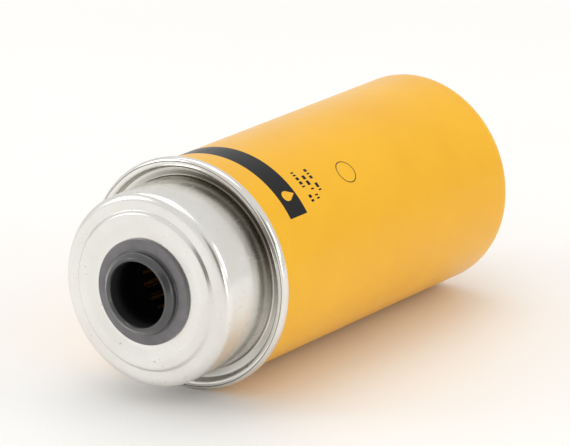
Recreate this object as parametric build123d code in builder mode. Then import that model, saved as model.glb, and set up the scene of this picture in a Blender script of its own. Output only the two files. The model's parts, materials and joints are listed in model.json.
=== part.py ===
from build123d import *
import os
from math import pi

# A quick-release fuel filter cartridge with two filter stages and a water drain.
# It lies on its side: the axis runs along +Y, the neck points to -Y and the rolled seam
# touches the plane Z = 0. All lengths are in millimetres. A station is a distance along the
# axis from the middle of the rolled seam, positive towards the drain.

# Can, cap and the double seam that joins them
SHEET = 0.65                 # thickness of the can's and the cap's steel
CAN_R = 40.9                 # outside of the can's wall
CAN_END = 154.0              # station of the can's closed end
CAN_CORNER_R = 4.0
PANEL_DEPTH = 2.8            # the middle of the closed end is set in by this much
PANEL_R = 27.0
RIM_R = 43.3                 # outside of the rolled seam
SEAM_HALF = 1.8              # half of the seam's height
LINING = 0.2                 # sealing compound under the seam's crest
CREST_BEND_R = 1.2
NECK_R = 36.0
SEAT = -26.9                 # outer surface of the cap under the grommet's flange
FACE = -27.5                 # outer surface of the cap's flat face
LEDGE = -26.4                # outer surface of the step outside the face
GUTTER = 1.6                 # outer surface of the cap's gutter
NECK_HOLE_R = 14.0
SEAT_R = 22.7                # edge of the seat round the grommet's flange
FACE_IN_R = 23.7
FACE_R = 28.7                # edge of the flat face
LEDGE_IN_R = 29.6
SHOULDER_BEND_R = 2.7
GUTTER_BEND_R = 1.1
PANEL_SLOPE = 2.6            # how much wider the closed end's recess is at its top
COVER_HOOK_END = -0.05

# Grommet in the neck and the two tubes of the filter head that it is made for
OUTER_TUBE_R = 12.0          # bore of the neck grommet
INNER_TUBE_R = 6.0           # bore of the inner grommet
FLANGE_R = 19.83
FLANGE = 1.0                 # how far the flange stands out of the seat
COLLAR_TIP = -31.9
COLLAR_R = 15.6
RIDGE = -30.3                # where the collar turns in to its lip
MOUTH = -31.0                # where the lip ends and the bore starts
SLEEVE_END = -18.0
TIP_IN_R = 12.5
TIP_OUT_R = 13.4
LIP_R = 17.5
LIP_END = -20.8
HUB_R = 12.9                 # outside of the stage plate's hub
SEAL_HOLE_R = 10.0           # hole in the stage plate for the inner grommet
HUB_HEIGHT = 7.0
SEAL_LIP = 1.6               # inner grommet's lip on the neck side
SEAL_FLANGE = 1.8            # inner grommet's flange on the drain side

# Filter stages
TUBE_R = 14.6                # outside of the centre tube and of the screen cage
TUBE_BORE_R = 13.0
PLEAT_IN_R = 15.0
PLEAT_OUT_R = 33.4
PLEATS = 48
PAPER = 0.5
PLATE = 0.6                  # thickness of the pressed end plates
PLATE_R = 34.1
PLATE_RIM = 3.5              # height of the plates' rims
PLATE_BEND_R = 0.5
POTTING = 2.6                # depth of adhesive at each end of the paper
POTTING_R = 33.2
PRIMARY_END = 58.0
STAGE_PLATE = 1.6
SECONDARY_LENGTH = 42.0
SLOTS_AROUND = 18
SLOT_WIDTH = 2.6
SLOT_LENGTH = 12.0
SLOT_PITCH = 17.0
SCREEN = 0.5                 # thickness of the woven water screen
BEAD = 0.7                   # height of the adhesive beads round the paper
BEAD_HALF = 1.0

# Spring under the stack
SPRING_R = 19.0              # mean radius
WIRE_R = 1.2
SPRING_TURNS = 4.5
SPRING_PLAY = 1.0            # radial gap between the spring and the walls of its cup

# Drain valve in the closed end
BUSH_HOLE_R = 8.1
BUSH_R = 8.0
BUSH_FLANGE_R = 12.0
BUSH_FLANGE = 2.4
GASKET = 1.0
BUSH_DEPTH = 16.4            # length of the bush inside the can
SEAT_WALL = 2.5
SEAT_HOLE_R = 2.0
SEAT_BEVEL = 1.6
TRAVEL = 3.0                 # the valve's travel between shut and fully open
THREAD_INSET = 4.0           # the thread starts this far inside the can
NUT_FLATS = 21.0
NUT = 4.0
VALVE_CHAMBER_R = 4.2
THREAD_R = 4.6
RUNNING = 0.05               # radial clearance of the stem in the bush
KNOB_R = 12.5
KNOB = 11.0
KNOB_GAP = 0.4
KNOB_FLUTES = 8
SPIGOT_R = 3.0
SPIGOT = 9.0
DRAIN_BORE_R = 1.4
TIP_GAP = 0.16               # axial gap between the tip's cone and the seat's, at rest
TIP_R = 3.3
TIP_LENGTH = 2.0
NOSE_R = 3.2
RING_R = 0.85                # half the O-ring's thickness
CROSS_HOLE_R = 1.0
FLUTE_R = 4.2
FLUTE_CENTRE_R = 15.1
KNOB_RECESS_R = 7.0
KNOB_RECESS = 2.0

# Stations that follow from the sizes above
HALF = SHEET / 2
FOLD_GAP = (RIM_R - CAN_R - 3 * SHEET) / 3
CAN_WALL_R = CAN_R - HALF
COVER_HOOK_R = CAN_R + FOLD_GAP + HALF
BODY_HOOK_R = COVER_HOOK_R + SHEET + FOLD_GAP
SEAM_WALL_R = RIM_R - HALF
CHUCK_WALL_R = CAN_R - SHEET - HALF
CREST = -SEAM_HALF + HALF
FOLD_R = (BODY_HOOK_R - CAN_WALL_R) / 2
HOOK_BEND = CREST + SHEET + LINING
PLATE_TOP = LIP_END
PRIMARY_START = PLATE_TOP + PLATE + POTTING
STAGE_TOP = PRIMARY_END + POTTING
STAGE_UNDER = STAGE_TOP + STAGE_PLATE
SECONDARY_START = STAGE_UNDER + POTTING
SECONDARY_END = SECONDARY_START + SECONDARY_LENGTH
BASE_TOP = SECONDARY_END + POTTING
BASE_UNDER = BASE_TOP + PLATE
CUP_UNDER = BASE_UNDER + PLATE
PANEL = CAN_END - PANEL_DEPTH
PANEL_IN = PANEL - SHEET
BUSH_SHOULDER = PANEL + GASKET
BUSH_FACE = BUSH_SHOULDER + BUSH_FLANGE
BUSH_END = PANEL_IN - BUSH_DEPTH
KNOB_START = BUSH_FACE + KNOB_GAP
KNOB_END = KNOB_START + KNOB
SPIGOT_END = KNOB_END + SPIGOT
SEAM_Y = -(COLLAR_TIP + SPIGOT_END) / 2
HUB_TOP = STAGE_TOP - HUB_HEIGHT
CUP_IN_R = SPRING_R - WIRE_R - SPRING_PLAY
CUP_OUT_R = SPRING_R + WIRE_R + SPRING_PLAY
SPRING_LENGTH = PANEL_IN - CUP_UNDER
THREAD_START = PANEL_IN - THREAD_INSET
TIP = BUSH_END + SEAT_WALL - TIP_GAP
CROSS_HOLE = TIP + 2.6 * CROSS_HOLE_R
NOSE_END = CROSS_HOLE + 1.5 * CROSS_HOLE_R
RING_MID = THREAD_START - TRAVEL - 1.5 * RING_R
GROOVE_HALF = RING_R + 0.1
GROOVE_R = VALVE_CHAMBER_R - 2 * RING_R - 0.1
STEM_R = VALVE_CHAMBER_R - RUNNING

AXIAL = Plane(origin=(0, SEAM_Y, RIM_R), x_dir=(0, 1, 0), z_dir=(1, 0, 0))
SPINE = Axis((0, SEAM_Y, RIM_R), (0, 1, 0))


def across(station):
    """The plane across the axis at a station; it extrudes towards the drain."""
    return Plane(origin=(0, SEAM_Y + station, RIM_R), x_dir=(1, 0, 0), z_dir=(0, 1, 0))


def band(start, end, inner, outer, mode=Mode.ADD):
    """Half the section of a ring, drawn on the axial plane as station by radius."""
    with Locations(((start + end) / 2, (inner + outer) / 2)):
        Rectangle(end - start, outer - inner, mode=mode)


def bevel(radius, station, size):
    """Takes a 45 degree corner off the section at a radius and station."""
    with Locations((station, radius)):
        Rectangle(size * 2 ** 0.5, size * 2 ** 0.5, rotation=45, mode=Mode.SUBTRACT)


def slots(first, last):
    """Cuts rows of axial slots through a tube between two stations."""
    rows = int((last - first) // SLOT_PITCH)
    start = (first + last - (rows - 1) * SLOT_PITCH - SLOT_LENGTH) / 2
    for row in range(rows):
        with BuildSketch(across(start + row * SLOT_PITCH)) as openings:
            with PolarLocations((TUBE_R + TUBE_BORE_R) / 2, SLOTS_AROUND):
                Rectangle(TUBE_R - TUBE_BORE_R + 1.0, SLOT_WIDTH)
        extrude(openings.sketch, amount=SLOT_LENGTH, mode=Mode.SUBTRACT)


def pleat_points(crest_r, crest_half, valley_r, valley_half):
    """Corners of a pleated outline; the half widths are arc lengths in millimetres."""
    points = []
    for pleat in range(PLEATS):
        crest = 360 / PLEATS * pleat
        valley = crest + 180 / PLEATS
        crest_turn = crest_half / crest_r * 180 / pi
        valley_turn = valley_half / valley_r * 180 / pi
        for radius, angle in (
            (crest_r, crest - crest_turn),
            (crest_r, crest + crest_turn),
            (valley_r, valley - valley_turn),
            (valley_r, valley + valley_turn),
        ):
            points.append(Vector(radius, 0).rotate(Axis.Z, angle))
    return points


def pleated_paper(start, end):
    """Folded filter paper between two stations."""
    with BuildSketch(across(start)) as folds:
        with BuildLine():
            Polyline(*pleat_points(PLEAT_OUT_R, 0.75, PLEAT_IN_R + PAPER, 0.2), close=True)
        make_face()
        with BuildLine():
            Polyline(*pleat_points(PLEAT_OUT_R - PAPER, 0.25, PLEAT_IN_R, 0.7), close=True)
        make_face(mode=Mode.SUBTRACT)
    extrude(folds.sketch, amount=end - start)


# The can's wall starts in the seam's body hook and ends in the panel round the drain bush.
with BuildPart() as can_body:
    with BuildSketch(AXIAL):
        with BuildLine():
            hook = Line((SEAM_HALF / 2, BODY_HOOK_R), (HOOK_BEND + FOLD_R, BODY_HOOK_R))
            bend = JernArc(hook @ 1, hook % 1, FOLD_R, 180)
            FilletPolyline(
                bend @ 1,
                (CAN_END - HALF, CAN_WALL_R),
                (CAN_END - HALF, PANEL_R + PANEL_SLOPE),
                (PANEL - HALF, PANEL_R),
                (PANEL - HALF, BUSH_HOLE_R),
                radius=[CAN_CORNER_R, 1.2, 1.2],
            )
        trace(line_width=SHEET)
    revolve(axis=SPINE)

# The cap runs from the hole for the grommet, over the face, step, shoulder and neck, through
# the gutter, up the chuck wall and round the seam to the cover hook.
with BuildPart() as neck_cap:
    with BuildSketch(AXIAL):
        with BuildLine():
            outline = FilletPolyline(
                (SEAT + HALF, NECK_HOLE_R),
                (SEAT + HALF, SEAT_R),
                (FACE + HALF, FACE_IN_R),
                (FACE + HALF, FACE_R),
                (LEDGE + HALF, LEDGE_IN_R),
                (LEDGE + HALF, NECK_R - HALF),
                (GUTTER + HALF, NECK_R - HALF),
                (GUTTER + HALF, CHUCK_WALL_R),
                (CREST, CHUCK_WALL_R),
                (CREST, SEAM_WALL_R),
                (SEAM_HALF - HALF - FOLD_R, SEAM_WALL_R),
                radius=[
                    0.5,
                    0.5,
                    0.45,
                    0.45,
                    SHOULDER_BEND_R,
                    GUTTER_BEND_R,
                    GUTTER_BEND_R,
                    CREST_BEND_R,
                    CREST_BEND_R,
                ],
            )
            foot = JernArc(outline @ 1, outline % 1, FOLD_R, -180)
            Line(foot @ 1, (COVER_HOOK_END, COVER_HOOK_R))
        trace(line_width=SHEET)
    revolve(axis=SPINE)

# A thin ring of sealing compound lies under the seam's crest.
with BuildPart() as seam_compound:
    with BuildSketch(AXIAL):
        band(
            CREST + HALF,
            CREST + HALF + LINING,
            CHUCK_WALL_R + CREST_BEND_R,
            SEAM_WALL_R - CREST_BEND_R,
        )
    revolve(axis=SPINE)

# The grommet clips into the neck's hole: flange and funnel outside, lip and sleeve inside.
with BuildPart() as neck_grommet:
    with BuildSketch(AXIAL) as grommet_section:
        band(SEAT - FLANGE, SEAT, OUTER_TUBE_R, FLANGE_R)
        band(SEAT, SLEEVE_END, OUTER_TUBE_R, NECK_HOLE_R)
        band(SEAT + SHEET, LIP_END, OUTER_TUBE_R, LIP_R)
        with BuildLine():
            Polyline(
                (SEAT, OUTER_TUBE_R),
                (MOUTH, OUTER_TUBE_R),
                (COLLAR_TIP, TIP_IN_R),
                (COLLAR_TIP, TIP_OUT_R),
                (RIDGE, COLLAR_R),
                (SEAT, COLLAR_R),
                close=True,
            )
        make_face()
        front = grommet_section.vertices().group_by(Axis.X)
        fillet(front[0], 0.35)
        fillet(grommet_section.vertices().sort_by(Axis.X)[5], 0.3)
    revolve(axis=SPINE)

# Pressed steel channel on the neck end of the paper, with a collar round the grommet's sleeve.
with BuildPart() as upper_end_plate:
    with BuildSketch(AXIAL):
        with BuildLine():
            FilletPolyline(
                (PRIMARY_START, NECK_HOLE_R + PLATE / 2),
                (PLATE_TOP + PLATE / 2, NECK_HOLE_R + PLATE / 2),
                (PLATE_TOP + PLATE / 2, PLATE_R - PLATE / 2),
                (PLATE_TOP + PLATE + PLATE_RIM, PLATE_R - PLATE / 2),
                radius=PLATE_BEND_R,
            )
        trace(line_width=PLATE)
    revolve(axis=SPINE)

with BuildPart() as upper_potting:
    with BuildSketch(AXIAL):
        band(PLATE_TOP + PLATE, PRIMARY_START, TUBE_R + 0.25, PLATE_R - PLATE - 0.25)
    revolve(axis=SPINE)

with BuildPart() as primary_media:
    pleated_paper(PRIMARY_START, PRIMARY_END)

# Beads of adhesive round the paper keep the pleats evenly spaced.
with BuildPart() as pleat_bands:
    with BuildSketch(AXIAL):
        for share in (0.25, 0.5, 0.75):
            middle = PRIMARY_START + share * (PRIMARY_END - PRIMARY_START)
            band(middle - BEAD_HALF, middle + BEAD_HALF, PLEAT_OUT_R, PLEAT_OUT_R + BEAD)
        middle = (SECONDARY_START + SECONDARY_END) / 2
        band(middle - BEAD_HALF, middle + BEAD_HALF, PLEAT_OUT_R, PLEAT_OUT_R + BEAD)
    revolve(axis=SPINE)

with BuildPart() as centre_tube:
    with BuildSketch(AXIAL):
        band(PRIMARY_START, STAGE_TOP, TUBE_BORE_R, TUBE_R)
    revolve(axis=SPINE)
    slots(PRIMARY_START + 2, PRIMARY_END)

with BuildPart() as primary_lower_potting:
    with BuildSketch(AXIAL):
        band(PRIMARY_END, STAGE_TOP, TUBE_R, POTTING_R)
    revolve(axis=SPINE)

# Moulded partition between the stages; its hub holds the seal for the head's inner tube.
with BuildPart() as stage_plate:
    with BuildSketch(AXIAL):
        band(STAGE_TOP, STAGE_UNDER, SEAL_HOLE_R, PLATE_R + 0.4)
        band(HUB_TOP, STAGE_UNDER, SEAL_HOLE_R, HUB_R)
        band(STAGE_TOP - PLATE_RIM, STAGE_UNDER + PLATE_RIM, PLATE_R - 0.6, PLATE_R + 0.4)
    revolve(axis=SPINE)

with BuildPart() as inner_grommet:
    with BuildSketch(AXIAL):
        band(HUB_TOP - SEAL_LIP, HUB_TOP, INNER_TUBE_R, HUB_R - 0.4)
        band(HUB_TOP - SEAL_LIP, STAGE_UNDER + SEAL_FLANGE, INNER_TUBE_R, SEAL_HOLE_R)
        band(STAGE_UNDER, STAGE_UNDER + SEAL_FLANGE, INNER_TUBE_R, HUB_R - 0.9)
        bevel(INNER_TUBE_R, HUB_TOP - SEAL_LIP, 1.2)
        bevel(HUB_R - 0.9, STAGE_UNDER + SEAL_FLANGE, 0.8)
    revolve(axis=SPINE)

with BuildPart() as secondary_upper_potting:
    with BuildSketch(AXIAL):
        band(STAGE_UNDER, SECONDARY_START, TUBE_R, POTTING_R)
    revolve(axis=SPINE)

with BuildPart() as secondary_media:
    pleated_paper(SECONDARY_START, SECONDARY_END)

with BuildPart() as screen_cage:
    with BuildSketch(AXIAL):
        band(STAGE_UNDER, BASE_TOP, TUBE_BORE_R, TUBE_R)
    revolve(axis=SPINE)
    slots(SECONDARY_START, SECONDARY_END)

# A woven sleeve that holds water back, drawn as a thin plain tube.
with BuildPart() as water_screen:
    with BuildSketch(AXIAL):
        band(SECONDARY_START, SECONDARY_END, TUBE_BORE_R - SCREEN, TUBE_BORE_R)
    revolve(axis=SPINE)

with BuildPart() as secondary_lower_potting:
    with BuildSketch(AXIAL):
        band(SECONDARY_END, BASE_TOP, TUBE_R, POTTING_R)
    revolve(axis=SPINE)

# Closed steel plate under the stack, with a turned-up rim.
with BuildPart() as lower_end_plate:
    with BuildSketch(AXIAL):
        with BuildLine():
            FilletPolyline(
                (BASE_TOP + PLATE / 2, 0),
                (BASE_TOP + PLATE / 2, PLATE_R - PLATE / 2),
                (BASE_TOP - PLATE_RIM, PLATE_R - PLATE / 2),
                radius=PLATE_BEND_R,
            )
        trace(line_width=PLATE)
    revolve(axis=SPINE)

# Pressed cup that centres the spring on the plate.
with BuildPart() as spring_cup:
    with BuildSketch(AXIAL):
        with BuildLine():
            FilletPolyline(
                (BASE_UNDER + PLATE_RIM, CUP_IN_R),
                (BASE_UNDER + PLATE / 2, CUP_IN_R),
                (BASE_UNDER + PLATE / 2, CUP_OUT_R),
                (BASE_UNDER + PLATE_RIM, CUP_OUT_R),
                radius=PLATE_BEND_R,
            )
        trace(line_width=PLATE)
    revolve(axis=SPINE)

# Compression spring with its end coils ground flat.
with BuildPart() as stack_spring:
    with BuildLine():
        coil = Helix(
            pitch=SPRING_LENGTH / SPRING_TURNS,
            height=SPRING_LENGTH,
            radius=SPRING_R,
            center=(0, SEAM_Y + CUP_UNDER, RIM_R),
            direction=(0, 1, 0),
        )
    with BuildSketch(Plane(origin=coil @ 0, z_dir=coil % 0)):
        Circle(WIRE_R)
    sweep(path=coil, is_frenet=True)
    split(bisect_by=across(CUP_UNDER), keep=Keep.TOP)
    split(bisect_by=across(PANEL_IN), keep=Keep.BOTTOM)

# Brass bush through the closed end, with the valve's chamber and its conical seat.
with BuildPart() as drain_insert:
    with BuildSketch(AXIAL):
        band(BUSH_SHOULDER, BUSH_FACE, THREAD_R + RUNNING, BUSH_FLANGE_R)
        band(BUSH_END, BUSH_SHOULDER, THREAD_R + RUNNING, BUSH_R)
        band(BUSH_END, THREAD_START, VALVE_CHAMBER_R, THREAD_R + RUNNING)
        band(BUSH_END, BUSH_END + SEAT_WALL, SEAT_HOLE_R, VALVE_CHAMBER_R)
        bevel(SEAT_HOLE_R, BUSH_END + SEAT_WALL, SEAT_BEVEL)
        bevel(BUSH_FLANGE_R, BUSH_FACE, 0.8)
    revolve(axis=SPINE)

with BuildPart() as drain_gasket:
    with BuildSketch(AXIAL):
        band(PANEL, BUSH_SHOULDER, BUSH_R, BUSH_FLANGE_R - 0.5)
    revolve(axis=SPINE)

with BuildPart() as drain_nut:
    with BuildSketch(across(PANEL_IN - NUT)):
        RegularPolygon(NUT_FLATS / 2, 6, major_radius=False)
        Circle(BUSH_R, mode=Mode.SUBTRACT)
    extrude(amount=NUT)

# Hollow valve stem: tip, O-ring groove, thread (drawn plain), knob seat and hose spigot.
with BuildPart() as drain_stem:
    with BuildSketch(AXIAL):
        band(TIP, NOSE_END, 0, NOSE_R)
        band(NOSE_END, RING_MID - GROOVE_HALF, 0, STEM_R)
        band(RING_MID - GROOVE_HALF, RING_MID + GROOVE_HALF, 0, GROOVE_R)
        band(RING_MID + GROOVE_HALF, THREAD_START + 0.5, 0, STEM_R)
        band(THREAD_START + 0.5, KNOB_END, 0, THREAD_R)
        band(KNOB_END, SPIGOT_END, 0, SPIGOT_R)
        band(CROSS_HOLE - 1, SPIGOT_END, 0, DRAIN_BORE_R, mode=Mode.SUBTRACT)
        bevel(SPIGOT_R, SPIGOT_END, 0.5)
    revolve(axis=SPINE)
    with BuildSketch(Plane(origin=(0, SEAM_Y + CROSS_HOLE, RIM_R))):
        Circle(CROSS_HOLE_R)
    extrude(amount=VALVE_CHAMBER_R, both=True, mode=Mode.SUBTRACT)

# Rubber cone on the stem's tip; it closes the seat's hole.
with BuildPart() as drain_tip_seal:
    with BuildSketch(AXIAL):
        with BuildLine():
            Polyline(
                (TIP, 0),
                (TIP, TIP_R),
                (TIP - TIP_LENGTH, TIP_R - TIP_LENGTH),
                (TIP - TIP_LENGTH, 0),
                close=True,
            )
        make_face()
    revolve(axis=SPINE)

with BuildPart() as drain_oring:
    with BuildSketch(AXIAL):
        with Locations((RING_MID, VALVE_CHAMBER_R - RING_R - RUNNING / 2)):
            Circle(RING_R - RUNNING / 2)
    revolve(axis=SPINE)

# Moulded knob with finger flutes round its edge.
with BuildPart() as drain_knob:
    with BuildSketch(across(KNOB_START)):
        Circle(KNOB_R)
        with PolarLocations(FLUTE_CENTRE_R, KNOB_FLUTES):
            Circle(FLUTE_R, mode=Mode.SUBTRACT)
    extrude(amount=KNOB)
    ends = drain_knob.faces().filter_by(Axis.Y)
    fillet(ends.edges(), 0.7)
    with BuildSketch(across(KNOB_START)):
        Circle(THREAD_R)
    extrude(amount=KNOB, mode=Mode.SUBTRACT)
    with BuildSketch(across(KNOB_END - KNOB_RECESS)):
        Circle(KNOB_RECESS_R)
        Circle(THREAD_R + 0.9, mode=Mode.SUBTRACT)
    extrude(amount=KNOB_RECESS, mode=Mode.SUBTRACT)

pieces = {
    "can_body": can_body,
    "neck_cap": neck_cap,
    "seam_compound": seam_compound,
    "neck_grommet": neck_grommet,
    "upper_end_plate": upper_end_plate,
    "upper_potting": upper_potting,
    "primary_media": primary_media,
    "pleat_bands": pleat_bands,
    "centre_tube": centre_tube,
    "primary_lower_potting": primary_lower_potting,
    "stage_plate": stage_plate,
    "inner_grommet": inner_grommet,
    "secondary_upper_potting": secondary_upper_potting,
    "secondary_media": secondary_media,
    "screen_cage": screen_cage,
    "water_screen": water_screen,
    "secondary_lower_potting": secondary_lower_potting,
    "lower_end_plate": lower_end_plate,
    "spring_cup": spring_cup,
    "stack_spring": stack_spring,
    "drain_insert": drain_insert,
    "drain_gasket": drain_gasket,
    "drain_nut": drain_nut,
    "drain_stem": drain_stem,
    "drain_tip_seal": drain_tip_seal,
    "drain_oring": drain_oring,
    "drain_knob": drain_knob,
}

os.makedirs("parts", exist_ok=True)
for name, piece in pieces.items():
    piece.part.label = name
    export_step(piece.part, f"parts/{name}.step")
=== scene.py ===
"""A quick-release fuel filter cartridge lying on its side on a pale table.

Lengths in the sizes below are millimetres and everything built is metres. A station is a
distance along the cartridge's axis from the middle of its rolled seam, positive towards the
drain. The axis runs along +Y and the neck points to -Y.
"""

import bmesh
import bpy
import json
import math
from mathutils import Matrix, Vector, noise


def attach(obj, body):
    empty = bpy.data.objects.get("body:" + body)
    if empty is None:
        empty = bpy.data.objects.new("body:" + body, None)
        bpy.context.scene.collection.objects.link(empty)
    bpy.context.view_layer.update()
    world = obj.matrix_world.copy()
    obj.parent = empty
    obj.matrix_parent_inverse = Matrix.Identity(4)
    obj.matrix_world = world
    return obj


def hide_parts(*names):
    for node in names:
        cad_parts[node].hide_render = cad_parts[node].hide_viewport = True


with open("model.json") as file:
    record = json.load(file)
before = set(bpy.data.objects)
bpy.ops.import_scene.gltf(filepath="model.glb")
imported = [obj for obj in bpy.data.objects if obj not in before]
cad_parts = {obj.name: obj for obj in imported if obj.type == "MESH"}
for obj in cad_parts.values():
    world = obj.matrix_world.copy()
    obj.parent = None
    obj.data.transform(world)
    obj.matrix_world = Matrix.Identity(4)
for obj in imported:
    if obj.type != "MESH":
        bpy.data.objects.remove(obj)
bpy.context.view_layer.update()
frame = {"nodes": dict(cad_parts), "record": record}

MM = 0.001
SEAM_Y = -71.55
AXIS_Z = 43.3
SHEET = 0.65
CAN_R = 40.9
CAN_END = 154.0
NECK_R = 36.0
NECK_FACE = -27.5


# Camera, at the reference view: above the neck end and to its right, with a long lens

EYE = (Vector((964.97, -1342.85, 515.56)) + Vector((0, SEAM_Y, AXIS_Z))) * MM
LOOK = Vector((-0.54232, 0.78940, -0.28771))
RIGHT = Vector((0.82422, 0.56630, 0.0))

camera_data = bpy.data.cameras.new("camera")
camera_data.lens = 302.65
camera_data.sensor_width = 36.0
camera_data.clip_end = 50.0
camera = bpy.data.objects.new("camera", camera_data)
bpy.context.scene.collection.objects.link(camera)
back = -LOOK.normalized()
across = RIGHT.normalized()
above = back.cross(across).normalized()
camera.matrix_world = Matrix.Translation(EYE) @ Matrix((across, above, back)).transposed().to_4x4()
bpy.context.scene.camera = camera


# Colours, nodes and materials


def linear(code):
    """An sRGB hex colour as linear RGBA."""
    parts = [int(code[i:i + 2], 16) / 255 for i in (0, 2, 4)]
    return [c / 12.92 if c <= 0.04045 else ((c + 0.055) / 1.055) ** 2.4 for c in parts] + [1.0]


def add(tree, kind, inputs=None, output=0, **settings):
    """Adds a node with its settings, and gives each input a value or a link.

    Returns the output asked for, or the whole node if output is None.
    """
    made = tree.nodes.new(kind)
    for key, value in settings.items():
        setattr(made, key, value)
    for key, value in (inputs or {}).items():
        if isinstance(value, bpy.types.NodeSocket):
            tree.links.new(value, made.inputs[key])
        else:
            made.inputs[key].default_value = value
    return made if output is None else made.outputs[output]


def surface(name, colour, metallic, roughness, **sockets):
    """A material with one principled shader; returns the material, its tree and the shader."""
    made = bpy.data.materials.new(name)
    made.use_nodes = True
    tree = made.node_tree
    shader = tree.nodes["Principled BSDF"]
    shader.inputs["Base Color"].default_value = linear(colour)
    shader.inputs["Metallic"].default_value = metallic
    shader.inputs["Roughness"].default_value = roughness
    for key, value in sockets.items():
        shader.inputs[key.replace("_", " ")].default_value = value
    return made, tree, shader


def place(tree):
    """Position on the piece in metres, and its station, and angle and distance from the axis."""
    spot = add(tree, "ShaderNodeTexCoord", output="Object")
    xyz = add(tree, "ShaderNodeSeparateXYZ", {0: spot}, None).outputs
    station = add(tree, "ShaderNodeMath", {0: xyz["Y"], 1: SEAM_Y * MM}, operation="SUBTRACT")
    height = add(tree, "ShaderNodeMath", {0: xyz["Z"], 1: AXIS_Z * MM}, operation="SUBTRACT")
    angle = add(
        tree,
        "ShaderNodeMath",
        {0: height, 1: xyz["X"]},
        operation="ARCTAN2",
    )
    arm = add(tree, "ShaderNodeCombineXYZ", {0: xyz["X"], 1: height})
    radius = add(tree, "ShaderNodeVectorMath", {0: arm}, "Value", operation="LENGTH")
    return spot, station, angle, radius


def uneven(tree, spot, period, low, high, detail=3.0):
    """Cloudy variation between two values; period is the size of a cloud in metres."""
    size = {"Vector": spot, "Scale": 1 / period, "Detail": detail}
    cloud = add(tree, "ShaderNodeTexNoise", size)
    return add(tree, "ShaderNodeMapRange", {0: cloud, 1: 0.35, 2: 0.65, 3: low, 4: high})


def inside(tree, value, low, high, soft):
    """1 where value lies between low and high, with a soft edge."""
    edges = []
    for at, before, after in ((low, 0.0, 1.0), (high, 1.0, 0.0)):
        limits = {0: value, 1: at - soft, 2: at + soft, 3: before, 4: after}
        edges.append(add(tree, "ShaderNodeMapRange", limits))
    return add(tree, "ShaderNodeMath", {0: edges[0], 1: edges[1]}, operation="MULTIPLY")


# Baked enamel over drawn steel: a satin gloss with faint orange peel. The ink is matt and
# printed over it: a dark band with a drop in it, three rows of small marks and a ring.
BAND = (15.5, 26.0)
BAND_START = math.radians(33)
BAND_END = math.radians(178)
MARKS_ANGLE = math.radians(45)
DROP_STATION = 20.4
DROP_BELLY = 2.1
DROP_POINT = 2.6
ROWS = ((31.5, 33.2, 57), (35.2, 36.9, 52), (38.8, 40.4, 55))
ROWS_START = math.radians(37)
MARK_LENGTH = 0.667
MARK_SPACING = 3.77
RING_STATION = 59.0
RING = (4.3, 4.7)
CRISP = 0.05 * MM
enamel, tree, shader = surface(
    "baked_enamel", "F3B604", 0.0, 0.32, Specular_IOR_Level=0.2, Coat_Roughness=0.26, IOR=1.45
)
spot, station, angle, radius = place(tree)
clouds = uneven(tree, spot, 30.0 * MM, 0.0, 1.0)
paint = add(
    tree,
    "ShaderNodeMix",
    {0: clouds, 6: linear("ECAE00"), 7: linear("F1B502")},
    2,
    data_type="RGBA",
)
band_along = inside(tree, station, BAND[0] * MM, BAND[1] * MM, CRISP)
band_round = inside(tree, angle, BAND_START, BAND_END, 0.0012)
band = add(tree, "ShaderNodeMath", {0: band_along, 1: band_round}, operation="MULTIPLY")

drop_y = add(tree, "ShaderNodeMath", {0: station, 1: DROP_STATION * MM}, operation="SUBTRACT")
arc = add(tree, "ShaderNodeMath", {0: angle, 1: CAN_R * MM}, operation="MULTIPLY")
drop_x = add(
    tree, "ShaderNodeMath", {0: arc, 1: MARKS_ANGLE * CAN_R * MM}, operation="SUBTRACT"
)
flat = add(tree, "ShaderNodeCombineXYZ", {0: drop_x, 1: drop_y, 2: 0.0})
belly = add(tree, "ShaderNodeVectorMath", {0: flat}, "Value", operation="LENGTH")
round_part = inside(tree, belly, -1.0 * MM, DROP_BELLY * MM, CRISP)
lean = add(tree, "ShaderNodeMath", {0: drop_x}, operation="ABSOLUTE")
taper = add(tree, "ShaderNodeMath", {0: drop_y, 1: 0.55, 2: lean}, operation="MULTIPLY_ADD")
point_part = add(
    tree,
    "ShaderNodeMath",
    {
        0: inside(tree, taper, -10.0 * MM, DROP_POINT * MM, CRISP),
        1: inside(tree, drop_y, 0.8 * MM, 4.6 * MM, CRISP),
    },
    operation="MULTIPLY",
)
drop = add(tree, "ShaderNodeMath", {0: round_part, 1: point_part}, operation="MAXIMUM")
band_left = add(
    tree,
    "ShaderNodeMath",
    {0: band, 1: add(tree, "ShaderNodeMath", {0: band, 1: drop}, operation="MULTIPLY")},
    operation="SUBTRACT",
)

dash_round = add(tree, "ShaderNodeMath", {0: arc, 1: MARK_LENGTH * MM}, operation="DIVIDE")
dash_along = add(tree, "ShaderNodeMath", {0: station, 1: MARK_SPACING * MM}, operation="DIVIDE")
dash_seed = add(tree, "ShaderNodeCombineXYZ", {0: dash_round, 1: dash_along, 2: 0.0})
dash_cell = add(tree, "ShaderNodeVectorMath", {0: dash_seed}, operation="FLOOR")
dash_noise = add(
    tree, "ShaderNodeTexWhiteNoise", {"Vector": dash_cell}, "Value", noise_dimensions="2D"
)
dashes = inside(tree, dash_noise, 0.36, 2.0, 0.001)
rows = None
for first, last, width in ROWS:
    row = add(
        tree,
        "ShaderNodeMath",
        {
            0: inside(tree, station, first * MM, last * MM, 0.04 * MM),
            1: inside(tree, angle, ROWS_START, math.radians(width), 0.001),
        },
        operation="MULTIPLY",
    )
    rows = row if rows is None else add(
        tree, "ShaderNodeMath", {0: rows, 1: row}, operation="MAXIMUM"
    )
rows = add(tree, "ShaderNodeMath", {0: rows, 1: dashes}, operation="MULTIPLY")

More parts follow.
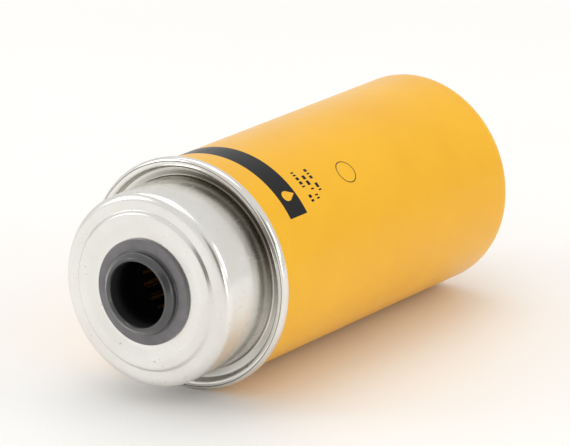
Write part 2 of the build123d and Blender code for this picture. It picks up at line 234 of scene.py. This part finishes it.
ring_y = add(tree, "ShaderNodeMath", {0: station, 1: RING_STATION * MM}, operation="SUBTRACT")
ring_flat = add(tree, "ShaderNodeCombineXYZ", {0: drop_x, 1: ring_y, 2: 0.0})
ring_r = add(tree, "ShaderNodeVectorMath", {0: ring_flat}, "Value", operation="LENGTH")
ring = inside(tree, ring_r, RING[0] * MM, RING[1] * MM, CRISP)

ink = add(tree, "ShaderNodeMath", {0: band_left, 1: rows}, operation="MAXIMUM")
ink = add(tree, "ShaderNodeMath", {0: ink, 1: ring}, operation="MAXIMUM")
tree.links.new(
    add(tree, "ShaderNodeMix", {0: ink, 6: paint, 7: linear("0A0B10")}, 2, data_type="RGBA"),
    shader.inputs["Base Color"],
)
tree.links.new(uneven(tree, spot, 6.0 * MM, 0.29, 0.35), shader.inputs["Roughness"])
varnish = add(tree, "ShaderNodeMapRange", {0: ink, 1: 0.0, 2: 1.0, 3: 0.38, 4: 0.06})
tree.links.new(varnish, shader.inputs["Coat Weight"])
peel = add(tree, "ShaderNodeTexNoise", {"Vector": spot, "Scale": 0.42 / MM, "Detail": 2.0})
bump = add(tree, "ShaderNodeBump", {"Height": peel, "Distance": 0.002 * MM})
tree.links.new(bump, shader.inputs["Normal"])

# Tinplate, rolled bright and then drawn: satin, with fine lines left by the draw ring, small
# scratches, specks of dirt where the shoulder has been handled, and a brown painted shade that
# darkens one side of the neck at its root. The seaming roll burnishes the rim, and a fine dark
# line of painted reflection is drawn round its crest. The draw lines are 0.14 mm apart round the
# neck and 14 mm long; the scratches are 0.4 mm wide, wider than real ones so that they show.
DRAW_LINES_ROUND = 260.0
DRAW_LINES_ALONG = 1 / (14.3 * MM)
SCRATCH_SCALE = (2600.0, 90.0, 700.0)
# The side of the neck that the painted shade darkens.
PAINTED_SHADE_SIDE = math.radians(62)
# Radii of a fine dark line of painted reflection round the seam's crest.
PAINTED_CREST_LINE = (41.88, 42.12)
tinplate, tree, shader = surface("drawn_tinplate", "E3E0D8", 1.0, 0.25)
spot, station, angle, radius = place(tree)
lines_round = add(tree, "ShaderNodeMath", {0: angle, 1: DRAW_LINES_ROUND}, operation="MULTIPLY")
lines_along = add(tree, "ShaderNodeMath", {0: station, 1: DRAW_LINES_ALONG}, operation="MULTIPLY")
lines_at = add(tree, "ShaderNodeCombineXYZ", {0: lines_round, 1: lines_along, 2: 0.0})
draw_lines = add(tree, "ShaderNodeTexNoise", {"Vector": lines_at, "Scale": 1.0, "Detail": 3.0})
stretched = add(
    tree,
    "ShaderNodeMapping",
    {"Vector": spot, "Rotation": (0.5, 0.9, 0.3), "Scale": SCRATCH_SCALE},
)
scratch_noise = add(
    tree,
    "ShaderNodeTexNoise",
    {"Vector": stretched, "Scale": 1.0, "Detail": 1.0},
)
scratches = inside(tree, scratch_noise, 0.73, 2.0, 0.02)
specks_noise = add(
    tree,
    "ShaderNodeTexNoise",
    {"Vector": spot, "Scale": 1 / (1.25 * MM), "Detail": 2.0},
)
handled = uneven(tree, spot, 22.0 * MM, 0.0, 0.8)
specks = add(
    tree,
    "ShaderNodeMath",
    {0: inside(tree, specks_noise, 0.72, 2.0, 0.02), 1: handled},
    operation="MULTIPLY",
)
clean = add(
    tree,
    "ShaderNodeMix",
    {0: uneven(tree, spot, 18.0 * MM, 0.0, 1.0), 6: linear("E9E8E4"), 7: linear("E3E1DC")},
    2,
    data_type="RGBA",
)
dirty = add(tree, "ShaderNodeMix", {0: specks, 6: clean, 7: linear("6B6145")}, 2, data_type="RGBA")
# Painted shade: a brown tint that darkens one side of the neck near its root.
on_neck = inside(tree, radius, 33.0 * MM, 38.5 * MM, 0.8 * MM)
near_root = add(
    tree,
    "ShaderNodeMapRange",
    {0: station, 1: -8.5 * MM, 2: 0.5 * MM, 3: 0.0, 4: 0.85},
    interpolation_type="SMOOTHSTEP",
)
side = add(tree, "ShaderNodeMath", {0: angle, 1: PAINTED_SHADE_SIDE}, operation="SUBTRACT")
side = add(tree, "ShaderNodeMath", {0: side}, operation="COSINE")
side = add(tree, "ShaderNodeMapRange", {0: side, 1: 0.1, 2: 0.95, 3: 0.12, 4: 1.0})
tone_and_painted_shade = add(tree, "ShaderNodeMath", {0: on_neck, 1: near_root}, operation="MULTIPLY")
tone_and_painted_shade = add(tree, "ShaderNodeMath", {0: tone_and_painted_shade, 1: side}, operation="MULTIPLY")
# Painted reflection: a fine dark line round the crest of the seam, in the same brown.
painted_crest_line = inside(tree, radius, PAINTED_CREST_LINE[0] * MM, PAINTED_CREST_LINE[1] * MM, 0.06 * MM)
front = inside(tree, station, -3.0 * MM, -1.2 * MM, 0.1 * MM)
painted_crest_line = add(tree, "ShaderNodeMath", {0: painted_crest_line, 1: front}, operation="MULTIPLY")
tone_and_painted_shade = add(tree, "ShaderNodeMath", {0: tone_and_painted_shade, 1: painted_crest_line}, operation="MAXIMUM")
# The brown 544C35 is painted shade at the neck's root and a painted dark line round the crest.
tree.links.new(
    add(tree, "ShaderNodeMix", {0: tone_and_painted_shade, 6: dirty, 7: linear("544C35")}, 2, data_type="RGBA"),
    shader.inputs["Base Color"],
)
base_rough = uneven(tree, spot, 10.0 * MM, 0.205, 0.265)
on_seam = inside(tree, radius, 39.8 * MM, 50.0 * MM, 0.3 * MM)
base_rough = add(
    tree,
    "ShaderNodeMath",
    {0: on_seam, 1: -0.12, 2: base_rough},
    operation="MULTIPLY_ADD",
)
rough = add(
    tree,
    "ShaderNodeMath",
    {0: scratches, 1: 0.10, 2: base_rough},
    operation="MULTIPLY_ADD",
)
tree.links.new(rough, shader.inputs["Roughness"])
lined = add(
    tree,
    "ShaderNodeMath",
    {0: scratches, 1: 0.5, 2: draw_lines},
    operation="MULTIPLY_ADD",
)
bump = add(tree, "ShaderNodeBump", {"Height": lined, "Distance": 0.0025 * MM})
tree.links.new(bump, shader.inputs["Normal"])

# Moulded nitrile rubber: a glossy moulded skin on the collar, painted sheen of pale grey on the
# flat flange, and black rubber down the bore, painted darker deeper in as painted shade.
nitrile, tree, shader = surface(
    "moulded_nitrile", "4A4A4A", 0.0, 0.3, IOR=1.52, Coat_Roughness=0.06
)
spot, station, angle, radius = place(tree)
sheen_and_bloom_clouds = uneven(tree, spot, 7.0 * MM, 0.0, 1.0)
flange = inside(tree, radius, 15.8 * MM, 30.0 * MM, 0.2 * MM)
mouth = inside(tree, station, -33.0 * MM, -26.5 * MM, 2.0 * MM)
# Painted sheen: the flat flange is painted pale grey for the grey sheen it shows.
painted_flange_sheen = add(
    tree,
    "ShaderNodeMix",
    {0: sheen_and_bloom_clouds, 6: linear("646265"), 7: linear("747275")},
    2,
    data_type="RGBA",
)
# Painted shade: the rubber is painted lighter near the mouth and darker deeper down the bore.
collar_and_shaded_bore = add(
    tree,
    "ShaderNodeMix",
    {0: mouth, 6: linear("0E0E0F"), 7: linear("313133")},
    2,
    data_type="RGBA",
)
tree.links.new(
    add(tree, "ShaderNodeMix", {0: flange, 6: collar_and_shaded_bore, 7: painted_flange_sheen}, 2, data_type="RGBA"),
    shader.inputs["Base Color"],
)
coat = add(tree, "ShaderNodeMapRange", {0: flange, 1: 0.0, 2: 1.0, 3: 1.0, 4: 0.1})
tree.links.new(coat, shader.inputs["Coat Weight"])
tree.links.new(uneven(tree, spot, 3.0 * MM, 0.28, 0.36), shader.inputs["Roughness"])
grain = add(tree, "ShaderNodeTexNoise", {"Vector": spot, "Scale": 1 / (0.4 * MM), "Detail": 3.0})
bump = add(tree, "ShaderNodeBump", {"Height": grain, "Distance": 0.004 * MM})
tree.links.new(bump, shader.inputs["Normal"])

# Resin-treated filter paper, creped on the machine: matt amber with fine cross ridges.
resin_paper, tree, shader = surface("resin_treated_paper", "B98022", 0.0, 0.85)
spot, station, angle, radius = place(tree)
fibres = uneven(tree, spot, 1.2 * MM, 0.0, 1.0, 5.0)
tree.links.new(
    add(
        tree,
        "ShaderNodeMix",
        {0: fibres, 6: linear("A96F1A"), 7: linear("CC9433")},
        2,
        data_type="RGBA",
    ),
    shader.inputs["Base Color"],
)
ridges = add(tree, "ShaderNodeMath", {0: station, 1: math.tau / (1.0 * MM)}, operation="MULTIPLY")
crepe = add(tree, "ShaderNodeMath", {0: ridges}, operation="SINE")
bump = add(tree, "ShaderNodeBump", {"Height": crepe, "Distance": 0.04 * MM})
tree.links.new(bump, shader.inputs["Normal"])

# Silicone-treated paper of the second stage: paler and closer in grain.
silicone_paper, tree, shader = surface("silicone_treated_paper", "D8C795", 0.0, 0.8)
spot = add(tree, "ShaderNodeTexCoord", output="Object")
fibres = uneven(tree, spot, 1.0 * MM, 0.0, 1.0, 5.0)
tree.links.new(
    add(
        tree,
        "ShaderNodeMix",
        {0: fibres, 6: linear("CDBA85"), 7: linear("E2D3A6")},
        2,
        data_type="RGBA",
    ),
    shader.inputs["Base Color"],
)
bump = add(tree, "ShaderNodeBump", {"Height": fibres, "Distance": 0.03 * MM})
tree.links.new(bump, shader.inputs["Normal"])

# Black glass-filled nylon: semi-matt with a fine moulded texture.
nylon, tree, shader = surface("glass_filled_nylon", "141414", 0.0, 0.45, IOR=1.53)
spot = add(tree, "ShaderNodeTexCoord", output="Object")
flow = uneven(tree, spot, 4.0 * MM, 0.0, 1.0)
tree.links.new(
    add(
        tree,
        "ShaderNodeMix",
        {0: flow, 6: linear("111112"), 7: linear("1C1C1D")},
        2,
        data_type="RGBA",
    ),
    shader.inputs["Base Color"],
)
tree.links.new(uneven(tree, spot, 2.0 * MM, 0.36, 0.55), shader.inputs["Roughness"])
texture = add(tree, "ShaderNodeTexNoise", {"Vector": spot, "Scale": 3 / MM, "Detail": 2.0})
bump = add(tree, "ShaderNodeBump", {"Height": texture, "Distance": 0.02 * MM})
tree.links.new(bump, shader.inputs["Normal"])

# Woven polyester mesh: pale threads 0.3 mm apart, coarser than the real 0.1 mm so they show.
mesh_cloth, tree, shader = surface("woven_polyester_mesh", "C9C8C2", 0.0, 0.7)
spot, station, angle, radius = place(tree)
THREADS_ROUND = 260.0
round_it = add(tree, "ShaderNodeMath", {0: angle, 1: THREADS_ROUND}, operation="MULTIPLY")
THREAD_WAVE = math.tau / (0.3 * MM)
along_it = add(tree, "ShaderNodeMath", {0: station, 1: THREAD_WAVE}, operation="MULTIPLY")
warp = add(tree, "ShaderNodeMath", {0: round_it}, operation="SINE")
weft = add(tree, "ShaderNodeMath", {0: along_it}, operation="SINE")
weave = add(tree, "ShaderNodeMath", {0: warp, 1: weft}, operation="MULTIPLY")
shade = add(tree, "ShaderNodeMapRange", {0: weave, 1: -1.0, 2: 1.0, 3: 0.0, 4: 1.0})
tree.links.new(
    add(
        tree,
        "ShaderNodeMix",
        {0: shade, 6: linear("A7A69F"), 7: linear("DAD9D3")},
        2,
        data_type="RGBA",
    ),
    shader.inputs["Base Color"],
)
bump = add(tree, "ShaderNodeBump", {"Height": shade, "Distance": 0.04 * MM})
tree.links.new(bump, shader.inputs["Normal"])

# Cold-rolled steel, pressed and lightly oiled: dull grey with rolling streaks.
pressed_steel, tree, shader = surface("pressed_steel", "A9A8A4", 1.0, 0.38)
spot = add(tree, "ShaderNodeTexCoord", output="Object")
streaked = add(tree, "ShaderNodeMapping", {"Vector": spot, "Scale": (1800.0, 1800.0, 60.0)})
streaks = add(tree, "ShaderNodeTexNoise", {"Vector": streaked, "Scale": 1.0, "Detail": 3.0})
tree.links.new(
    add(
        tree,
        "ShaderNodeMix",
        {0: streaks, 6: linear("9B9A96"), 7: linear("B5B4B0")},
        2,
        data_type="RGBA",
    ),
    shader.inputs["Base Color"],
)
tree.links.new(uneven(tree, spot, 6.0 * MM, 0.32, 0.46), shader.inputs["Roughness"])
bump = add(tree, "ShaderNodeBump", {"Height": streaks, "Distance": 0.005 * MM})
tree.links.new(bump, shader.inputs["Normal"])

# Oil-tempered spring wire: dark blue-grey oxide with die lines.
spring_wire, tree, shader = surface("oil_tempered_wire", "4E4F52", 1.0, 0.35)
spot = add(tree, "ShaderNodeTexCoord", output="Object")
oxide = uneven(tree, spot, 3.0 * MM, 0.0, 1.0)
tree.links.new(
    add(
        tree,
        "ShaderNodeMix",
        {0: oxide, 6: linear("3C3E42"), 7: linear("64625E")},
        2,
        data_type="RGBA",
    ),
    shader.inputs["Base Color"],
)
tree.links.new(uneven(tree, spot, 2.0 * MM, 0.28, 0.45), shader.inputs["Roughness"])
bump = add(tree, "ShaderNodeBump", {"Height": oxide, "Distance": 0.01 * MM})
tree.links.new(bump, shader.inputs["Normal"])

# Turned brass: warm, with fine turning rings 0.15 mm apart.
brass, tree, shader = surface("turned_brass", "D6B26A", 1.0, 0.26)
spot, station, angle, radius = place(tree)
tarnish = uneven(tree, spot, 5.0 * MM, 0.0, 1.0)
tree.links.new(
    add(
        tree,
        "ShaderNodeMix",
        {0: tarnish, 6: linear("C79F55"), 7: linear("DDBB74")},
        2,
        data_type="RGBA",
    ),
    shader.inputs["Base Color"],
)
tree.links.new(uneven(tree, spot, 4.0 * MM, 0.28, 0.36), shader.inputs["Roughness"])
rings = add(tree, "ShaderNodeMath", {0: station, 1: math.tau / (0.15 * MM)}, operation="MULTIPLY")
turning = add(tree, "ShaderNodeMath", {0: rings}, operation="SINE")
bump = add(tree, "ShaderNodeBump", {"Height": turning, "Distance": 0.003 * MM})
tree.links.new(bump, shader.inputs["Normal"])

# Plastisol adhesive, poured hot and set: brown, smooth and slightly uneven.
plastisol, tree, shader = surface("poured_plastisol", "7C5C3A", 0.0, 0.42)
spot = add(tree, "ShaderNodeTexCoord", output="Object")
pour = uneven(tree, spot, 4.0 * MM, 0.0, 1.0)
tree.links.new(
    add(
        tree,
        "ShaderNodeMix",
        {0: pour, 6: linear("6E5030"), 7: linear("8A6844")},
        2,
        data_type="RGBA",
    ),
    shader.inputs["Base Color"],
)
tree.links.new(uneven(tree, spot, 3.0 * MM, 0.35, 0.5), shader.inputs["Roughness"])
bump = add(tree, "ShaderNodeBump", {"Height": pour, "Distance": 0.05 * MM})
tree.links.new(bump, shader.inputs["Normal"])

# Water-based seam lining: thin, dull and dark.
lining, tree, shader = surface("seam_lining_compound", "40392E", 0.0, 0.7)
spot = add(tree, "ShaderNodeTexCoord", output="Object")
tone_and_painted_shade = uneven(tree, spot, 2.0 * MM, 0.0, 1.0)
tree.links.new(
    add(
        tree,
        "ShaderNodeMix",
        {0: tone_and_painted_shade, 6: linear("383128"), 7: linear("4A4236")},
        2,
        data_type="RGBA",
    ),
    shader.inputs["Base Color"],
)
bump = add(tree, "ShaderNodeBump", {"Height": tone_and_painted_shade, "Distance": 0.02 * MM})
tree.links.new(bump, shader.inputs["Normal"])

# Compression-moulded seal rubber: deep black with a fine bloom.
seal_rubber, tree, shader = surface("moulded_seal_rubber", "101011", 0.0, 0.5)
spot = add(tree, "ShaderNodeTexCoord", output="Object")
sheen_and_bloom_clouds = uneven(tree, spot, 3.0 * MM, 0.0, 1.0)
tree.links.new(
    add(
        tree,
        "ShaderNodeMix",
        {0: sheen_and_bloom_clouds, 6: linear("0C0C0D"), 7: linear("1B1B1C")},
        2,
        data_type="RGBA",
    ),
    shader.inputs["Base Color"],
)
tree.links.new(uneven(tree, spot, 2.0 * MM, 0.42, 0.6), shader.inputs["Roughness"])
bump = add(tree, "ShaderNodeBump", {"Height": sheen_and_bloom_clouds, "Distance": 0.01 * MM})
tree.links.new(bump, shader.inputs["Normal"])

SLOT_FINISH = {
    "can_paint": enamel,
    "tinplate": tinplate,
    "seam_lining": lining,
    "grommet_rubber": nitrile,
    "plate_steel": pressed_steel,
    "spring_steel": spring_wire,
    "potting_adhesive": plastisol,
    "filter_paper": resin_paper,
    "treated_paper": silicone_paper,
    "moulded_tube": nylon,
    "woven_screen": mesh_cloth,
    "brass": brass,
    "stem_brass": brass,
    "seal_rubber": seal_rubber,
    "knob_plastic": nylon,
}


# Turned and drawn shapes


def rounded(points, radii, steps=7):
    """An open line of (station, radius) points with its corners rounded."""
    line = [Vector(points[0])]
    for before, corner, after, radius in zip(points, points[1:], points[2:], radii):
        corner = Vector(corner)
        inward = (Vector(before) - corner).normalized()
        outward = (Vector(after) - corner).normalized()
        turn = math.pi - inward.angle(outward)
        if radius == 0 or turn < 0.01:
            line.append(corner)
            continue
        reach = radius * math.tan(turn / 2)
        start, end = corner + inward * reach, corner + outward * reach
        centre = corner + (inward + outward).normalized() * (radius / math.cos(turn / 2))
        first, last = start - centre, end - centre
        for step in range(steps + 1):
            share = step / steps
            arm = first * math.sin((1 - share) * turn) + last * math.sin(share * turn)
            line.append(centre + arm / math.sin(turn))
    line.append(Vector(points[-1]))
    return line


def filled_in(line, longest):
    """The same line with no step longer than a limit, so that the sheet can be uneven."""
    fine = [line[0]]
    for first, last in zip(line, line[1:]):
        count = max(1, math.ceil((last - first).length / longest))
        fine += [first.lerp(last, step / count) for step in range(1, count + 1)]
    return fine


def sheet_section(line, thickness):
    """A closed section: the line given a thickness to both sides."""
    near, far = [], []
    for i, point in enumerate(line):
        run = line[min(i + 1, len(line) - 1)] - line[max(i - 1, 0)]
        side = Vector((-run.y, run.x)).normalized() * thickness / 2
        near.append(point + side)
        far.append(point - side)
    return near + far[::-1]


def turned(name, section, turns=256, uneven_by=0.0, period=30.0):
    """Turns a closed section about the axis; uneven_by is how far it strays, in millimetres."""
    points, faces = [], []
    for turn in range(turns):
        angle = 2 * math.pi * turn / turns
        ahead = Vector((math.cos(angle), 0, math.sin(angle)))
        for station, radius in section:
            where = (ahead * radius + Vector((0, station, 0))) / period
            stray = uneven_by * noise.noise(where)
            spot = ahead * (radius + stray) + Vector((0, SEAM_Y + station, AXIS_Z))
            points.append(spot * MM)
    count = len(section)
    for turn in range(turns):
        this, following = turn * count, (turn + 1) % turns * count
        for i in range(count):
            j = (i + 1) % count
            faces.append((this + i, this + j, following + j, following + i))
    made = bpy.data.meshes.new(name)
    made.from_pydata(points, [], faces)
    made.polygons.foreach_set("use_smooth", [True] * len(faces))
    made.set_sharp_from_angle(angle=math.radians(50))
    made.update()
    piece = bpy.data.objects.new(name, made)
    bpy.context.scene.collection.objects.link(piece)
    return piece


def outward(piece):
    """Makes every face point out of the solid."""
    work = bmesh.new()
    work.from_mesh(piece.data)
    bmesh.ops.recalc_face_normals(work, faces=work.faces)
    work.to_mesh(piece.data)
    work.free()


def stand_for(piece, node, slot_name):
    """Puts a finished piece in place of its node."""
    outward(piece)
    piece.data.materials.append(SLOT_FINISH[slot_name])
    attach(piece, "cartridge")
    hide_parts(node)


half = SHEET / 2

# The middle of the can's sheet, from the fold inside the seam, down the wall, round the far
# corner and over the recessed panel to the drain's hole.
can_line = rounded(
    [
        (0.9, 42.175),
        (-0.625, 42.175),
        (-0.625, CAN_R - half),
        (CAN_END - half, CAN_R - half),
        (CAN_END - half, 29.6),
        (151.2 - half, 27.0),
        (151.2 - half, 8.1),
    ],
    [0.7, 0.7, 4.0, 1.2, 1.2],
)
can_section = sheet_section(filled_in(can_line, 4.0), SHEET)
can = turned("drawn_can", can_section, uneven_by=0.035, period=42.0)
stand_for(can, "can_body", "can_paint")

# The middle of the cap's sheet, from the grommet's hole, over the step of the seat and the
# shoulder, down the neck, across the gutter, up and over the seam and under the can's fold.
cap_line = rounded(
    [
        (-26.9 + half, 14.0),
        (-26.9 + half, 21.2),
        (NECK_FACE + half, 25.2),
        (NECK_FACE + half, 28.6),
        (-26.4 + half, 29.7),
        (-26.4 + half, NECK_R - half),
        (1.6 + half, NECK_R - half),
        (1.6 + half, 39.925),
        (-1.475, 39.925),
        (-1.475, 42.955),
        (1.475, 42.955),
        (1.475, 41.375),
        (-0.05, 41.375),
    ],
    [8.0, 8.0, 0.8, 0.8, 2.7, 1.1, 1.1, 1.2, 1.2, 0.75, 0.75],
)
cap_section = sheet_section(filled_in(cap_line, 2.0), SHEET)
cap = turned("drawn_neck_cap", cap_section, turns=384, uneven_by=0.03)
stand_for(cap, "neck_cap", "tinplate")

# The whole section of the rubber, from the bore, over the collar and the flange, through the
# groove that grips the sheet, and down to the skirt inside.
grommet_section = rounded(
    [
        (-20.0, 12.0),
        (-31.0, 12.0),
        (-31.9, 12.5),
        (-31.9, 13.4),
        (-30.3, 15.2),
        (-28.3, 15.2),
        (-28.2, 19.6),
        (-26.9, 19.6),
        (-26.9, 14.0),
        (-26.25, 14.0),
        (-26.25, 17.5),
        (-20.8, 17.5),
        (-20.8, 14.0),
        (-18.0, 14.0),
        (-18.0, 12.0),
        (-19.9, 12.0),
    ],
    [0.6, 0.35, 0.5, 1.2, 0.4, 0.3, 0.1, 0.05, 0.05, 0.1, 0.3, 0.05, 0.2, 0.2],
)
grommet = turned("neck_seal", grommet_section, uneven_by=0.02, period=12.0)
stand_for(grommet, "neck_grommet", "grommet_rubber")

for entry in frame["record"]["subparts"]:
    node = frame["nodes"][entry["node"]]
    node.data.materials.clear()
    node.data.materials.append(SLOT_FINISH[entry["material_slot"]])


# Table, light and air

# The table slopes by a hair, to touch both the seam and the far corner of the can.
TOUCH = CAN_END - 2.0
REST_RISE = (AXIS_Z - CAN_R) / TOUCH
floor_paint, tree, shader = surface("matt_table_laminate", "F4F2EF", 0.0, 0.55)
spot = add(tree, "ShaderNodeTexCoord", output="Object")
tree.links.new(
    add(
        tree,
        "ShaderNodeMix",
        {0: uneven(tree, spot, 250.0 * MM, 0.0, 1.0), 6: linear("F4F3F2"), 7: linear("F6F5F4")},
        2,
        data_type="RGBA",
    ),
    shader.inputs["Base Color"],
)
SPAN, CELLS = 12.0, 24
corners, quads = [], []
for row in range(CELLS + 1):
    for column in range(CELLS + 1):
        x = SPAN * (column / CELLS - 0.5)
        y = SPAN * (row / CELLS - 0.5)
        corners.append((x, y, REST_RISE * (y - SEAM_Y * MM)))
for row in range(CELLS):
    for column in range(CELLS):
        first = row * (CELLS + 1) + column
        quads.append((first, first + 1, first + CELLS + 2, first + CELLS + 1))
table_mesh = bpy.data.meshes.new("table")
table_mesh.from_pydata(corners, [], quads)
table_mesh.materials.append(floor_paint)
table = bpy.data.objects.new("table", table_mesh)
bpy.context.scene.collection.objects.link(table)

# The room is a pale tent; one dim opening behind the viewpoint gives the metal its dark lines.
air = bpy.data.worlds.new("studio_air")
air.use_nodes = True
tree = air.node_tree
heading = add(tree, "ShaderNodeTexCoord", output="Generated")
towards = add(
    tree,
    "ShaderNodeVectorMath",
    {0: heading, 1: (0.60, -0.72, 0.34)},
    "Value",
    operation="DOT_PRODUCT",
)
opening = add(
    tree,
    "ShaderNodeMapRange",
    {0: towards, 1: 0.90, 2: 0.985, 3: 0.0, 4: 1.0},
    interpolation_type="SMOOTHSTEP",
)
tent = add(
    tree,
    "ShaderNodeMix",
    {0: opening, 6: linear("FFFEFC"), 7: linear("8A857C")},
    2,
    data_type="RGBA",
)
tree.links.new(tent, tree.nodes["Background"].inputs["Color"])
tree.nodes["Background"].inputs["Strength"].default_value = 0.84
bpy.context.scene.world = air

TARGET = Vector((0.0, 0.0, 0.045))
for name, at, size, power, tint in (
    ("overhead", (-0.35, 0.25, 1.5), 1.3, 6.0, "FFFFFF"),
    ("left_panel", (-1.3, -1.1, 0.8), 0.7, 4.5, "FFFFFF"),
    ("right_fill", (1.5, 0.5, 0.8), 0.8, 4.5, "FFFDF8"),
    ("low_right", (1.1, -0.5, 0.22), 0.4, 1.0, "FFFDF8"),
):
    lamp_data = bpy.data.lights.new(name, "AREA")
    lamp_data.shape = "SQUARE"
    lamp_data.size = size
    lamp_data.energy = power
    lamp_data.color = linear(tint)[:3]
    lamp = bpy.data.objects.new(name, lamp_data)
    lamp.location = at
    lamp.rotation_euler = (TARGET - Vector(at)).to_track_quat("-Z", "Y").to_euler()
    bpy.context.scene.collection.objects.link(lamp)

bpy.context.scene.view_settings.view_transform = "Standard"
